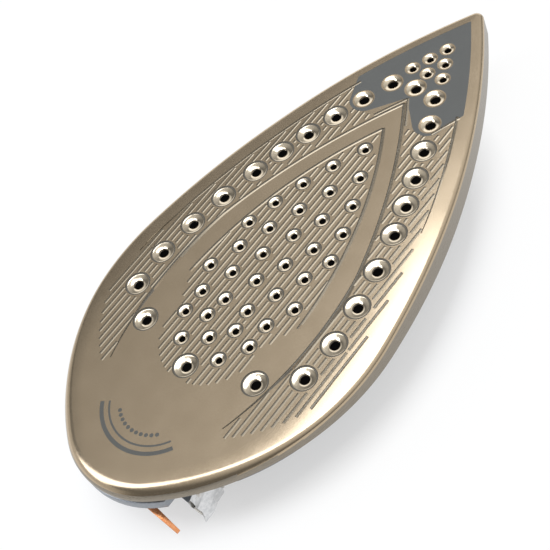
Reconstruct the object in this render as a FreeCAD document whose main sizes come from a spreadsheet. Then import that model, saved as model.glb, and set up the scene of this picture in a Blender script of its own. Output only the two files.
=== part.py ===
import FreeCAD, Part
import math
import os
from FreeCAD import Placement, Rotation, Vector

# Steam iron soleplate, lying on its back with the ironing face up.
# X runs from heel to toe, Y across, Z up; the origin is on the resting plane under the middle.

doc = FreeCAD.newDocument("iron_soleplate")
sheet = doc.addObject("Spreadsheet::Sheet", "sizes")

driving = {
    # outline of the ironing face, in tangent arcs
    "sole_length": 226.6,
    "sole_width": 116,
    "heel_radius": 36,
    "shoulder_radius": 88,
    "side_radius": 290,
    "toe_radius": 3,
    # pressed face
    "stand_height": 28,
    "face_thick": 1.6,
    "skirt_depth": 5,
    "skirt_wall": 1.2,
    "rim_bevel": 1.1,
    "fit_gap": 0.2,
    # dished steam holes
    "big_hole": 3.8,
    "big_dish": 10,
    "small_hole": 2,
    "small_dish": 6,
    "row_inset": 16.4,
    "row_from_toe": 43.2,
    "toe_pitch": 12.2,
    "toe_pitches": 5,
    "side_pitch": 15.3,
    "side_pitches": 4,
    "lead_hole_from_toe": 41.9,
    "tail_hole_from_heel": 49.8,
    "tail_lead": 12.7,
    "tail_pair_from_heel": 56.7,
    "tail_pair_spread": 53.8,
    "cluster_from_toe": 21.2,
    "cluster_rows": 3,
    "cluster_step": 6.5,
    "cluster_pitch": 7,
    "chevron_from_toe": 73.6,
    "chevron_pitch": 21.4,
    "chevron_step": 11.4,
    # grooves pressed into the face
    "groove_pitch": 2.35,
    "groove_width": 0.5,
    "groove_depth": 0.3,
    "groove_clear": 0.4,
    "groove_shortest": 6,
    "field_from_heel": 44.2,
    "field_radius": 20,
    "field_slant": 2,
    "inner_arch_from_toe": 62.9,
    "inner_arch_width": 52.6,
    "inner_arch_wide": 73.2,
    "outer_arch_from_toe": 51.5,
    "outer_arch_width": 68.6,
    "outer_arch_wide": 81,
    "arch_gap": 1.5,
    "band_inset": 8,
    "band_slant": 0.2,
    "band_from_axis": 11.4,
    "panel_from_toe": 58.5,
    # cast block
    "block_inset": 6,
    "block_depth": 15,
    "insert_depth": 5.5,
    "lip_width": 48,
    "lip_length": 20,
    "lip_top": 6.2,
    "lip_bottom": 10,
    "gallery_inset": 9,
    "gallery_depth": 2,
    "gallery_from_heel": 42.3,
    "chamber_inset": 34,
    "chamber_nose": 4,
    "chamber_depth": 7,
    "chamber_from_heel": 61.3,
    "baffle_wall": 3,
    "baffle_length": 55,
    "passage_hole": 4,
    "passage_from_toe": 77.3,
    "passage_from_tail": 4,
    "passage_spread": 30,
    "post_diameter": 9,
    "post_thread": 3.3,
    "toe_thread_depth": 9,
    "heel_thread_depth": 7,
    "toe_post_from_toe": 29.3,
    "heel_post_from_heel": 45.3,
    "heel_post_spread": 33,
    # ends of the heating element that is cast into the block
    "element_inset": 20,
    "element_diameter": 7,
    "element_bend": 12,
    "element_end_from_heel": 32.9,
    "element_end_spread": 42.2,
    "element_seat": 4,
    "element_stub": 6,
    "ridge_wall": 2,
    "ridge_height": 1.5,
    "ridge_from_heel": 30.3,
    "seal_diameter": 4.8,
    "seal_length": 6,
    "pin_diameter": 2.4,
    "pin_out": 4.5,
    "tab_width": 6.3,
    "tab_thick": 0.8,
    "tab_length": 9.5,
    "tab_back": 2.6,
    "tab_drop": 1.6,
    # steam chamber cover
    "gasket_thick": 0.8,
    "cover_thick": 1.5,
    "cover_flange": 6,
    "cover_nose": 8,
    "emboss_margin": 9,
    "emboss_height": 1,
    "front_screw_from_toe": 83.3,
    "rear_screw_from_heel": 63.3,
    "screw_diameter": 3,
    "screw_head": 5.5,
    "screw_head_height": 2,
    "screw_reach": 6,
    "screw_gap": 0.1,
    "inlet_from_heel": 77.3,
    "inlet_bore": 4,
    "inlet_tube": 7,
    "inlet_flange": 12,
    "inlet_flange_thick": 2.5,
    "inlet_length": 4.5,
    "inlet_inside": 1.3,
    "inlet_seal_thick": 1,
    # snap-disc temperature limiter
    "limiter_from_heel": 29.3,
    "cap_diameter": 15.8,
    "cap_height": 3,
    "case_diameter": 14,
    "case_height": 6.5,
    "ear_span": 25,
    "ear_width": 7,
    "ear_thick": 0.8,
    "blade_start": 2,
    "blade_length": 9,
    # earth blade under the heel
    "earth_from_heel": 8.2,
    "earth_side": 8.5,
    "earth_root": 6,
    "earth_sheet": 0.8,
    "earth_width": 2.4,
    "earth_neck": 1.4,
    "earth_neck_length": 2.5,
    "earth_run": 10.9,
    "earth_fall": 4.6,
    "earth_rivet": 2,
    "earth_rivet_in": 3,
    "earth_rivet_head": 3.6,
    "earth_rivet_height": 1,
    # folded clip with the one-shot cut-out
    "clip_from_heel": 20.4,
    "clip_width": 11.5,
    "clip_side": 25.6,
    "clip_sheet": 0.8,
    "clip_flange": 8,
    "trough_width": 5.6,
    "trough_depth": 5.5,
    "trough_wall": 9.4,
    "trough_lip": 2.4,
    "cutout_diameter": 3.6,
    "cutout_length": 12,
    "lead_thick": 0.5,
    "lead_width": 1.6,
    "lead_height": 10.6,
    "lead_rivet": 1.8,
    "lead_rivet_from_heel": 31.5,
    "lead_rivet_in": 3,
    "lead_rivet_out": 2.4,
    "notch_from_heel": 13.3,
    "notch_end_from_heel": 29.3,
    "notch_gap": 0.8,
}
for line, (name, value) in enumerate(driving.items(), 1):
    sheet.set(f"A{line}", name)
    sheet.set(f"B{line}", str(value))
    sheet.setAlias(f"B{line}", name)
doc.recompute()


def size(name):
    return float(sheet.get(name))


# Flats of the round holes, pins and dishes that repeat.
big_sides, small_sides = 12, 8
hole_sides, ring_sides, boss_sides, head_sides = 10, 24, 16, 6

# Stations and levels that several pieces share.
heel = -size("sole_length") / 2
toe = size("sole_length") / 2
face_level = size("stand_height")
back_level = face_level - size("block_depth")
up = Vector(0, 0, 1)


class Arc:
    """One arc of an outline on the +Y side, from its toe end to its heel end."""

    def __init__(self, x, y, radius, start, end):
        self.x, self.y, self.radius, self.start, self.end = x, y, radius, start, end

    def curve(self, side=1):
        circle = Part.Circle(Vector(self.x, side * self.y, 0), up, self.radius)
        if side > 0:
            return Part.ArcOfCircle(circle, self.start, self.end)
        return Part.ArcOfCircle(circle, -self.end, -self.start)

    def point(self, angle, side=1):
        x = self.x + self.radius * math.cos(angle)
        return Vector(x, side * (self.y + self.radius * math.sin(angle)), 0)


def half_outline(inset, nose=None):
    """Arcs parallel to the outline: nose (if any), side, shoulder and heel."""
    heel_r, shoulder_r = size("heel_radius"), size("shoulder_radius")
    side_r, toe_r = size("side_radius"), size("toe_radius")
    heel_x = heel + heel_r
    shoulder_y = size("sole_width") / 2 - shoulder_r
    shoulder_x = heel_x + math.sqrt((shoulder_r - heel_r) ** 2 - shoulder_y ** 2)
    toe_x = toe - toe_r
    # the side arc touches the shoulder arc and the toe arc from outside
    reach = math.hypot(toe_x - shoulder_x, shoulder_y)
    near, far = side_r - shoulder_r, side_r - toe_r
    along = (near ** 2 - far ** 2 + reach ** 2) / (2 * reach)
    across = math.sqrt(near ** 2 - along ** 2)
    ux, uy = (toe_x - shoulder_x) / reach, -shoulder_y / reach
    side_x = shoulder_x + along * ux + across * uy
    side_y = shoulder_y + along * uy - across * ux
    to_shoulder = math.atan2(shoulder_y - side_y, shoulder_x - side_x)
    to_heel = math.atan2(-shoulder_y, heel_x - shoulder_x)
    nose = toe_r - inset if nose is None else nose
    arcs = []
    if nose > 0:
        nose_x = side_x + math.sqrt((side_r - inset - nose) ** 2 - side_y ** 2)
        to_nose = math.atan2(-side_y, nose_x - side_x)
        arcs.append(Arc(nose_x, 0, nose, 0, to_nose))
    else:
        to_nose = math.asin(-side_y / (side_r - inset))
    arcs.append(Arc(side_x, side_y, side_r - inset, to_nose, to_shoulder))
    arcs.append(Arc(shoulder_x, shoulder_y, shoulder_r - inset, to_shoulder, to_heel))
    arcs.append(Arc(heel_x, 0, heel_r - inset, to_heel, math.pi))
    return arcs


def both_sides(arcs):
    return [arc.curve() for arc in arcs] + [arc.curve(-1) for arc in reversed(arcs)]


def outline(inset, nose=None):
    return both_sides(half_outline(inset, nose))


def half_width(x, inset):
    """Half the width of the outline at a station, moved in by inset."""
    for arc in half_outline(inset)[-3:]:
        if arc.point(arc.end).x <= x <= arc.point(arc.start).x:
            return arc.y + math.sqrt(arc.radius ** 2 - (x - arc.x) ** 2)
    raise ValueError(f"station {x} is off the outline")


def cut_at(inset, tail_x, nose=None):
    """Arcs of half the outline from the nose back to a straight tail."""
    arcs = []
    for arc in half_outline(inset, nose):
        arcs.append(arc)
        if arc.point(arc.end).x < tail_x:
            arc.end = math.acos((tail_x - arc.x) / arc.radius)
            return arcs
    raise ValueError(f"tail {tail_x} is behind the heel")


def tail_point(arcs, side):
    return arcs[-1].point(arcs[-1].end, side)


def shield(inset, tail_x, nose=None):
    """Closed arch-shaped outline with a straight tail."""
    arcs = cut_at(inset, tail_x, nose)
    return both_sides(arcs) + [Part.LineSegment(tail_point(arcs, 1), tail_point(arcs, -1))]


def horseshoe(outer, inner):
    """Closed band between two arches that end at the same tail."""
    ends = [Part.LineSegment(tail_point(outer, side), tail_point(inner, side)) for side in (1, -1)]
    return both_sides(outer) + both_sides(inner) + ends


def arch(name, grow=0.0):
    """One side of a pointed arch, moved out by grow."""
    rise = size(name + "_width") / 2
    wide_x = heel + size(name + "_wide")
    reach = toe - size(name + "_from_toe") - wide_x
    radius = (reach ** 2 + rise ** 2) / (2 * rise)
    return Arc(wide_x, rise - radius, radius + grow, 0, math.pi / 2)


def arch_station(arc, y):
    """Station on the toe side where an arch has half-width y."""
    return arc.x + math.sqrt(max(arc.radius ** 2 - (y - arc.y) ** 2, 0))


def polygon(points):
    corners = [Vector(x, y, 0) for x, y in points]
    return [Part.LineSegment(a, b) for a, b in zip(corners, corners[1:] + corners[:1])]


def rectangle(x0, y0, x1, y1):
    return polygon([(x0, y0), (x1, y0), (x1, y1), (x0, y1)])


def circles(points, diameter):
    return [Part.Circle(Vector(x, y, 0), up, diameter / 2) for x, y in points]


def many_sided(points, diameter, sides=hole_sides):
    """Regular polygons with a corner toward +X, one at each place."""
    radius, turn = diameter / 2, 2 * math.pi / sides
    ring = [(radius * math.cos(i * turn), radius * math.sin(i * turn)) for i in range(sides)]
    return [line for x, y in points for line in polygon([(x + dx, y + dy) for dx, dy in ring])]


def folded_strip(points, thick):
    """Outline of a sheet of constant thickness folded along a centre line, with mitred corners."""
    left, right = [], []
    for i, (x, y) in enumerate(points):
        x0, y0 = points[max(i - 1, 0)]
        x1, y1 = points[min(i + 1, len(points) - 1)]
        before = math.atan2(y - y0, x - x0) if i else math.atan2(y1 - y, x1 - x)
        after = math.atan2(y1 - y, x1 - x) if i < len(points) - 1 else before
        half = (after - before + math.pi) % (2 * math.pi) - math.pi
        normal = before + half / 2 + math.pi / 2
        offset = thick / 2 / math.cos(half / 2)
        left.append((x + offset * math.cos(normal), y + offset * math.sin(normal)))
        right.append((x - offset * math.cos(normal), y - offset * math.sin(normal)))
    return polygon(left + right[::-1])


def mirrored(points):
    return [(x, side * y) for x, y in points for side in (1, -1)]


# Document helpers: bodies, sketches and features bound to the sheet.
def new_body(label):
    body = doc.addObject("PartDesign::Body", label)
    body.Label = label
    return body


def new_sketch(body, name, level, curves, role="XY_Plane"):
    sketch = body.newObject("Sketcher::SketchObject", name)
    plane = next(part for part in body.Origin.OriginFeatures if part.Role == role)
    sketch.AttachmentSupport = [(plane, "")]
    sketch.MapMode = "FlatFace"
    sketch.setExpression("AttachmentOffset.Base.z", level)
    sketch.addGeometry(curves, False)
    return sketch


def extrude(body, kind, name, level, curves, length, rising=True, role="XY_Plane"):
    """Pad or Pocket of closed curves from a level, rising or sinking."""
    sketch = new_sketch(body, name + "_sketch", level, curves, role)
    feature = body.newObject("PartDesign::" + kind, name)
    feature.Profile = sketch
    feature.setExpression("Length", length)
    feature.Reversed = rising if kind == "Pocket" else not rising
    doc.recompute()
    return feature


def cylinder(name, x, y, level, diameter, height):
    """Upright cylinder whose foot is at a level."""
    solid = doc.addObject("Part::Cylinder", name)
    solid.setExpression("Radius", f"({diameter}) / 2")
    solid.setExpression("Height", height)
    solid.Placement = Placement(Vector(x, y, 0), Rotation())
    solid.setExpression("Placement.Base.z", level)
    return solid


def prism(name, x, y, level, diameter, height, sides=hole_sides):
    """Upright prism of regular section whose foot is at a level."""
    solid = doc.addObject("Part::Prism", name)
    solid.Polygon = sides
    solid.setExpression("Circumradius", f"({diameter}) / 2")
    solid.setExpression("Height", height)
    solid.Placement = Placement(Vector(x, y, 0), Rotation())
    solid.setExpression("Placement.Base.z", level)
    return solid


def box(name, x, y, level, length, width, height):
    """Box whose lowest corner is at x, y and a level."""
    solid = doc.addObject("Part::Box", name)
    for prop, value in (("Length", length), ("Width", width), ("Height", height)):
        solid.setExpression(prop, value)
    solid.Placement = Placement(Vector(x, y, 0), Rotation())
    solid.setExpression("Placement.Base.z", level)
    return solid


def fuse(name, solids):
    joined = doc.addObject("Part::MultiFuse", name)
    joined.Shapes = solids
    joined.Refine = True
    return joined


def cut(name, base, tools):
    result = doc.addObject("Part::Cut", name)
    result.Base = base
    result.Tool = tools[0] if len(tools) == 1 else fuse(name + "_tools", tools)
    return result


parts = {}


def keep(label, solid):
    solid.Label = label
    parts[label] = solid


# Layout of the dished steam holes.
def big_row():
    """Large holes along one side, parallel to the outline."""
    side, shoulder = half_outline(size("row_inset"))[-3:-1]
    start = toe - size("row_from_toe")
    arc, angle = side, math.acos((start - side.x) / side.radius)
    places = [arc.point(angle)]
    pitches = [size(name) for name in ("toe_pitch", "side_pitch") for _ in range(int(size(name + "es")))]
    for pitch in pitches:
        angle += pitch / arc.radius
        if arc is side and angle > side.end:
            over = (angle - side.end) * side.radius
            arc, angle = shoulder, shoulder.start + over / shoulder.radius
        places.append(arc.point(angle))
    return [(place.x, place.y) for place in places]


tail = heel + size("tail_hole_from_heel")
big_places = mirrored(big_row())
big_places += mirrored([(heel + size("tail_pair_from_heel"), size("tail_pair_spread") / 2)])
big_places += [(toe - size("lead_hole_from_toe"), 0), (tail, 0)]

small_places = []
for row in range(int(size("cluster_rows"))):  # triangle behind the toe
    x = toe - size("cluster_from_toe") - row * size("cluster_step")
    small_places += [(x, (i - row / 2) * size("cluster_pitch")) for i in range(row + 1)]
# chevrons in the middle: holes on each leg, first rise and how much the leg bends in
chevron_legs = [(4, 6.9, 0.5), (4, 5.5, 0.1), (3, 5.5, 0.1), (1, 5.5, 0.1)]
for row, (count, rise, bend) in enumerate(chevron_legs):
    apex = toe - size("chevron_from_toe") - row * size("chevron_pitch")
    legs = [(apex - i * size("chevron_step"), rise * i - bend * i * i) for i in range(1, count + 1)]
    small_places += [(apex, 0)] + mirrored(legs)
# two rows that open toward the toe: distance from the tail hole and from the axis
tail_legs = [(19.4, 6.8), (7.6, 9.1), (16.8, 15.7)]
small_places += [(tail + size("tail_lead"), 0)] + mirrored([(tail + x, y) for x, y in tail_legs])


# Straight grooves of the face, broken where a dish lies in their way.
def band_station(inset, y, toward_toe):
    """Station where the outline moved in by inset has half-width y."""
    side, shoulder = half_outline(inset)[-3:-1]
    arc, sign = (side, 1) if toward_toe else (shoulder, -1)
    return arc.x + sign * math.sqrt(max(arc.radius ** 2 - (y - arc.y) ** 2, 0))


def groove_lines():
    """Whole grooves of the +Y half as start, end and Y."""
    gap, radius, slant = size("arch_gap"), size("field_radius"), size("field_slant")
    field = heel + size("field_from_heel") + radius
    inner, outer = arch("inner_arch", -gap), arch("outer_arch", gap)
    inner_half, outer_half = size("inner_arch_width") / 2, size("outer_arch_width") / 2
    panel = toe - size("panel_from_toe")
    last = size("sole_width") / 2 - size("band_inset")
    runs = []
    y = 0.0
    while y < last:
        if y < inner_half - gap:
            start = field - math.sqrt(max(radius ** 2 - y ** 2, 0)) + max(y - radius, 0) * slant
            runs.append((start, arch_station(inner, y), y))
        start = band_station(size("band_inset"), y, False) + (last - y) * size("band_slant")
        end = min(band_station(size("band_inset"), y, True), panel)
        if y > outer_half + gap:
            runs.append((start, end, y))
        elif y > size("band_from_axis"):
            runs.append((arch_station(outer, y), end, y))
            if y > inner_half:
                runs.append((start, 2 * outer.x - arch_station(outer, y), y))
        y += size("groove_pitch")
    return runs


def clear_runs(start, end, y):
    """The stretches of a groove that no dish interrupts."""
    spans = [(start, end)]
    for places, dish in ((big_places, "big_dish"), (small_places, "small_dish")):
        reach = size(dish) / 2 + size("groove_clear")
        for px, py in places:
            if abs(y - py) >= reach:
                continue
            half = math.sqrt(reach ** 2 - (y - py) ** 2)
            pieces = [(a, min(b, px - half)) for a, b in spans] + [(max(a, px + half), b) for a, b in spans]
            spans = [(a, b) for a, b in pieces if b > a]
    return [(a, b) for a, b in spans if b - a > size("groove_shortest")]


# Pressed steel face with its skirt, grooves and steam holes.
sole = new_body("sole_pressing")
blank = extrude(sole, "Pad", "sole_blank", "sizes.stand_height", outline(0), "sizes.skirt_depth", False)
rim = sole.newObject("PartDesign::Chamfer", "sole_rim")
rim.Base = (blank, [f"Edge{i}" for i, edge in enumerate(blank.Shape.Edges, 1)
                    if edge.BoundBox.ZMin > face_level - size("skirt_depth") / 2])
rim.setExpression("Size", "sizes.rim_bevel")
doc.recompute()
extrude(sole, "Pocket", "sole_hollow", "sizes.stand_height - sizes.skirt_depth",
        outline(size("skirt_wall")), "sizes.skirt_depth - sizes.face_thick", True)
slots = []
half_groove = size("groove_width") / 2
for line in groove_lines():
    for start, end in clear_runs(*line):
        for side in ((1, -1) if line[2] else (1,)):
            slots += rectangle(start, side * line[2] - half_groove, end, side * line[2] + half_groove)
extrude(sole, "Pocket", "grooves", "sizes.stand_height", slots, "sizes.groove_depth", False)


def dish_tools(name, places, sides):
    """Funnels from the dish at the face down to the hole at the back, one at each place."""
    rings = []
    for end, level in (("dish", "sizes.stand_height"), ("hole", "sizes.stand_height - sizes.face_thick")):
        ring = doc.addObject("Part::RegularPolygon", f"{name}_{end}_ring")
        ring.Polygon = sides
        ring.setExpression("Circumradius", f"sizes.{name}_{end} / 2")
        ring.setExpression("Placement.Base.z", level)
        rings.append(ring)
    funnel = doc.addObject("Part::Loft", name + "_funnel")
    funnel.Sections = rings
    funnel.Solid = funnel.Ruled = funnel.Linearize = True
    tools = []
    for x, y in places:
        tool = doc.addObject("App::Link", name + "_tool")
        tool.LinkedObject = funnel
        tool.Placement = Placement(Vector(x, y, 0), Rotation())
        tools.append(tool)
    return tools


dishes = doc.addObject("Part::Compound", "dishes")
dishes.Links = dish_tools("big", big_places, big_sides) + dish_tools("small", small_places, small_sides)
keep("sole_face", cut("sole_face", sole, [dishes]))

# Places on the back that the block shares with what it carries.
chamber_tail = heel + size("chamber_from_heel")
cover_tail = chamber_tail - size("cover_flange")
cover_inset = size("chamber_inset") - size("cover_flange")
screw_inset = size("chamber_inset") - size("cover_flange") / 2
heel_posts = mirrored([(heel + size("heel_post_from_heel"), size("heel_post_spread") / 2)])
toe_post = (toe - size("toe_post_from_toe"), 0)
cover_screws = mirrored([(x, half_width(x, screw_inset)) for x in
                         (toe - size("front_screw_from_toe"), heel + size("rear_screw_from_heel"))])
element_ends = mirrored([(heel + size("element_end_from_heel"), size("element_end_spread") / 2)])
limiter_x = heel + size("limiter_from_heel")
ears = [(limiter_x + side * size("ear_span") / 2, 0) for side in (1, -1)]
clip_x = heel + size("clip_from_heel")
clip_screw = (clip_x, size("clip_flange") / 2 - size("clip_side"))
earth_x = heel + size("earth_from_heel")
earth_y = -size("earth_side")
earth_rivet = (earth_x + (size("earth_root") - size("earth_width")) / 2, earth_y)
lead_x = heel + size("lead_rivet_from_heel")
lead_y = -half_width(lead_x, size("block_inset"))

# Levels of the back, as sheet expressions.
back = "(sizes.stand_height - sizes.block_depth)"
insert_foot = "(sizes.stand_height - sizes.insert_depth)"
block_top = "(sizes.stand_height - sizes.face_thick)"
lip_foot = "(sizes.stand_height - sizes.lip_bottom)"
cover_top = f"({back} - sizes.gasket_thick)"
cover_foot = f"({cover_top} - sizes.cover_thick)"
emboss_foot = f"({cover_foot} - sizes.emboss_height)"
ear_level = f"({back} - sizes.cap_height)"
ear_foot = f"({ear_level} - sizes.ear_thick)"
case_foot = f"({ear_level} - sizes.case_height)"
stub_foot = f"({back} - sizes.element_stub)"
clip_foot = f"({back} - sizes.clip_sheet)"

# Die-cast block: insert in the skirt, body, heel lip, posts and bosses.
block = new_body("heater_block")
insert_inset = size("skirt_wall") + size("fit_gap")
extrude(block, "Pad", "insert", insert_foot, outline(insert_inset),
        "sizes.insert_depth - sizes.face_thick")
extrude(block, "Pad", "casting", back, outline(size("block_inset")),
        "sizes.block_depth - sizes.insert_depth")
heel_arc = half_outline(0)[-1]
lip_half = size("lip_width") / 2
heel_arc.start = math.pi - math.asin(lip_half / heel_arc.radius)
lip_ends = [heel_arc.point(heel_arc.start, side) for side in (1, -1)]
lip_x = heel + size("lip_length")
lip_root = [Vector(lip_x, lip_half, 0), Vector(lip_x, -lip_half, 0)]
lip = [heel_arc.curve(), heel_arc.curve(-1), Part.LineSegment(lip_ends[1], lip_root[1]),
       Part.LineSegment(lip_root[1], lip_root[0]), Part.LineSegment(lip_root[0], lip_ends[0])]
extrude(block, "Pad", "heel_lip", lip_foot, lip, "sizes.lip_bottom - sizes.lip_top")
ridge_half = size("element_diameter") / 2 + size("ridge_wall")
ridge = [cut_at(size("element_inset") + side * ridge_half, heel + size("ridge_from_heel"),
                size("element_bend") - side * ridge_half) for side in (-1, 1)]
extrude(block, "Pad", "element_ridge", back, horseshoe(*ridge), "sizes.ridge_height", False)
extrude(block, "Pad", "posts", back, many_sided(heel_posts + [toe_post], size("post_diameter"), boss_sides),
        back, False)
extrude(block, "Pad", "ear_bosses", back, many_sided(ears, size("ear_width"), boss_sides),
        "sizes.cap_height", False)
# room beside the body for the clip and its lead
notch_y = -size("clip_side") - size("notch_gap")
clip_notch = rectangle(heel + size("notch_from_heel"), -size("sole_width") / 2,
                       heel + size("notch_end_from_heel"), notch_y)
extrude(block, "Pocket", "clip_notch", back, clip_notch, "sizes.block_depth - sizes.insert_depth")
extrude(block, "Pocket", "steam_gallery", block_top,
        shield(size("gallery_inset"), heel + size("gallery_from_heel")), "sizes.gallery_depth", False)
baffle_x = heel + size("inlet_from_heel") + size("inlet_flange")
half_baffle = size("baffle_wall") / 2
chamber = shield(size("chamber_inset"), chamber_tail, size("chamber_nose"))
baffle = rectangle(baffle_x, -half_baffle, baffle_x + size("baffle_length"), half_baffle)
extrude(block, "Pocket", "steam_chamber", back, chamber + baffle, "sizes.chamber_depth")
passages = mirrored([(chamber_tail + size("passage_from_tail"), size("passage_spread") / 2)])
passages += [(toe - size("passage_from_toe"), 0)]
extrude(block, "Pocket", "passages", back, many_sided(passages, size("passage_hole")), "sizes.block_depth")
for name, places in (("heel_thread", heel_posts), ("toe_thread", [toe_post])):
    extrude(block, "Pocket", name, "0", circles(places, size("post_thread")), f"sizes.{name}_depth")
extrude(block, "Pocket", "element_seats", f"{back} - sizes.ridge_height",
        circles(element_ends, size("element_diameter")), "sizes.element_seat + sizes.ridge_height")
screw_hole = size("screw_diameter") + 2 * size("screw_gap")
for name, places, foot in (("cover_screw_holes", cover_screws, cover_foot),
                           ("limiter_screw_holes", ears, ear_foot),
                           ("clip_screw_hole", [clip_screw], clip_foot)):
    extrude(block, "Pocket", name, foot, many_sided(places, screw_hole),
            "sizes.screw_reach + sizes.screw_gap")
extrude(block, "Pocket", "earth_rivet_hole", back, many_sided([earth_rivet], size("earth_rivet")),
        "sizes.earth_rivet_in")
lead_z = face_level - (size("lip_top") + size("lip_bottom")) / 2 - size("lead_width")
extrude(block, "Pocket", "lead_rivet_hole", f"{-lead_y} + sizes.lead_rivet_out",
        many_sided([(lead_x, lead_z)], size("lead_rivet")), "sizes.lead_rivet_in + sizes.lead_rivet_out",
        False, "XZ_Plane")
keep("heater_block", block)


# Ends of the element: sheath, seal, pin and blade on each side.
def element_end(side, x, y):
    sheath = cylinder(f"sheath_{side}", x, y, stub_foot, "sizes.element_diameter",
                      "sizes.element_stub + sizes.element_seat")
    mouth = prism(f"mouth_{side}", x, y, stub_foot, "sizes.seal_diameter", "sizes.seal_length")
    keep(f"element_end_{side}", cut(f"element_end_{side}", sheath, [mouth]))
    plug = prism(f"plug_{side}", x, y, stub_foot, "sizes.seal_diameter", "sizes.seal_length")
    way = prism(f"way_{side}", x, y, stub_foot, "sizes.pin_diameter", "sizes.seal_length")
    keep(f"element_seal_{side}", cut(f"element_seal_{side}", plug, [way]))
    pin_foot = f"({stub_foot} - sizes.pin_out)"
    keep(f"element_pin_{side}", prism(f"element_pin_{side}", x, y, pin_foot, "sizes.pin_diameter",
                                      "sizes.seal_length + sizes.pin_out"))
    tab_foot = f"({stub_foot} - sizes.tab_drop - sizes.tab_thick)"
    inner = y - size("tab_length") if y > 0 else y - size("tab_back")
    plate = box(f"plate_{side}", x - size("tab_width") / 2, inner, tab_foot,
                "sizes.tab_width", "sizes.tab_length + sizes.tab_back", "sizes.tab_thick")
    eye = prism(f"eye_{side}", x, y, tab_foot, "sizes.pin_diameter", "sizes.tab_thick")
    keep(f"element_tab_{side}", cut(f"element_tab_{side}", plate, [eye]))


for side, (x, y) in zip(("left", "right"), element_ends):
    element_end(side, x, y)

# Steam chamber: gasket, pressed cover, screws and inlet.
inlet_x = heel + size("inlet_from_heel")
cover_line = shield(cover_inset, cover_tail, size("cover_nose"))
cover_holes = many_sided(cover_screws, screw_hole)
gasket = new_body("chamber_gasket")
extrude(gasket, "Pad", "gasket_ring", cover_top, cover_line + chamber + cover_holes, "sizes.gasket_thick")
keep("chamber_gasket", gasket)
cover = new_body("chamber_cover")
inlet_hole = many_sided([(inlet_x, 0)], size("inlet_tube") + 2 * size("fit_gap"), ring_sides)
extrude(cover, "Pad", "cover_plate", cover_foot, cover_line + cover_holes, "sizes.cover_thick")
emboss_inset = cover_inset + size("emboss_margin")
emboss = shield(emboss_inset, cover_tail + size("emboss_margin"), size("chamber_nose"))
extrude(cover, "Pad", "cover_emboss", cover_foot, emboss, "sizes.emboss_height", False)
extrude(cover, "Pocket", "inlet_hole", emboss_foot, inlet_hole, "sizes.emboss_height + sizes.cover_thick")
keep("chamber_cover", cover)


def screws(label, places, level):
    """Hexagon-head screws that rise from a level, as one group."""
    solids = []
    for number, (x, y) in enumerate(places):
        head = prism(f"{label}_head{number}", x, y, f"{level} - sizes.screw_head_height",
                     "sizes.screw_head", "sizes.screw_head_height", head_sides)
        shank = prism(f"{label}_shank{number}", x, y, level, "sizes.screw_diameter", "sizes.screw_reach")
        solids.append(fuse(f"{label}_{number}", [head, shank]))
    if len(solids) == 1:
        keep(label, solids[0])
        return
    group = doc.addObject("Part::Compound", label)
    group.Links = solids
    keep(label, group)


screws("cover_screws", cover_screws, cover_foot)
seal_foot = f"({emboss_foot} - sizes.inlet_seal_thick)"
flange_foot = f"({seal_foot} - sizes.inlet_flange_thick)"
inlet_foot = f"({flange_foot} - sizes.inlet_length)"
inlet_rise = f"({cover_top} + sizes.inlet_inside - {inlet_foot})"
washer = prism("washer", inlet_x, 0, seal_foot, "sizes.inlet_flange", "sizes.inlet_seal_thick", ring_sides)
washer_hole = prism("washer_hole", inlet_x, 0, seal_foot, "sizes.inlet_tube + 2 * sizes.fit_gap",
                    "sizes.inlet_seal_thick", ring_sides)
keep("inlet_seal", cut("inlet_seal", washer, [washer_hole]))
flange = prism("flange", inlet_x, 0, flange_foot, "sizes.inlet_flange",
               "sizes.inlet_flange_thick", head_sides)
tube = cylinder("tube", inlet_x, 0, inlet_foot, "sizes.inlet_tube", inlet_rise)
bore = prism("bore", inlet_x, 0, inlet_foot, "sizes.inlet_bore", inlet_rise, boss_sides)
keep("steam_inlet", cut("steam_inlet", fuse("inlet_body", [flange, tube]), [bore]))

# Snap-disc temperature limiter, held against the block by its bracket.
keep("limiter_cap", prism("limiter_cap", limiter_x, 0, ear_level, "sizes.cap_diameter",
                          "sizes.cap_height", ring_sides))
keep("limiter_body", prism("limiter_body", limiter_x, 0, case_foot, "sizes.case_diameter",
                           "sizes.case_height", ring_sides))
bracket = new_body("limiter_bracket")
bracket_disc = many_sided([(limiter_x, 0)], size("cap_diameter"), ring_sides)
extrude(bracket, "Pad", "bracket_disc", ear_foot, bracket_disc, "sizes.ear_thick")
ear_half = size("ear_width") / 2
arm = size("ear_span") / 2
bracket_bar = [Part.LineSegment(Vector(limiter_x - arm, side * ear_half, 0),
                                Vector(limiter_x + arm, side * ear_half, 0)) for side in (1, -1)]
for side in (1, -1):
    quarter = math.pi / 2
    ear_round = Part.Circle(Vector(limiter_x + side * arm, 0, 0), up, ear_half)
    start = -quarter if side > 0 else quarter
    bracket_bar.append(Part.ArcOfCircle(ear_round, start, start + math.pi))
extrude(bracket, "Pad", "bracket_ears", ear_foot, bracket_bar, "sizes.ear_thick")
bracket_holes = many_sided(ears, screw_hole)
bracket_holes += many_sided([(limiter_x, 0)], size("case_diameter") + 2 * size("screw_gap"), ring_sides)
extrude(bracket, "Pocket", "bracket_holes", ear_foot, bracket_holes, "sizes.ear_thick")
keep("limiter_bracket", bracket)
screws("limiter_screws", ears, ear_foot)
for side, sign in (("left", 1), ("right", -1)):
    inner = size("blade_start") if sign > 0 else -size("blade_start") - size("blade_length")
    blade = box(f"limiter_tab_{side}", limiter_x - size("tab_width") / 2, inner,
                f"{case_foot} - sizes.tab_thick", "sizes.tab_width", "sizes.blade_length", "sizes.tab_thick")
    keep(f"limiter_tab_{side}", blade)

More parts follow.
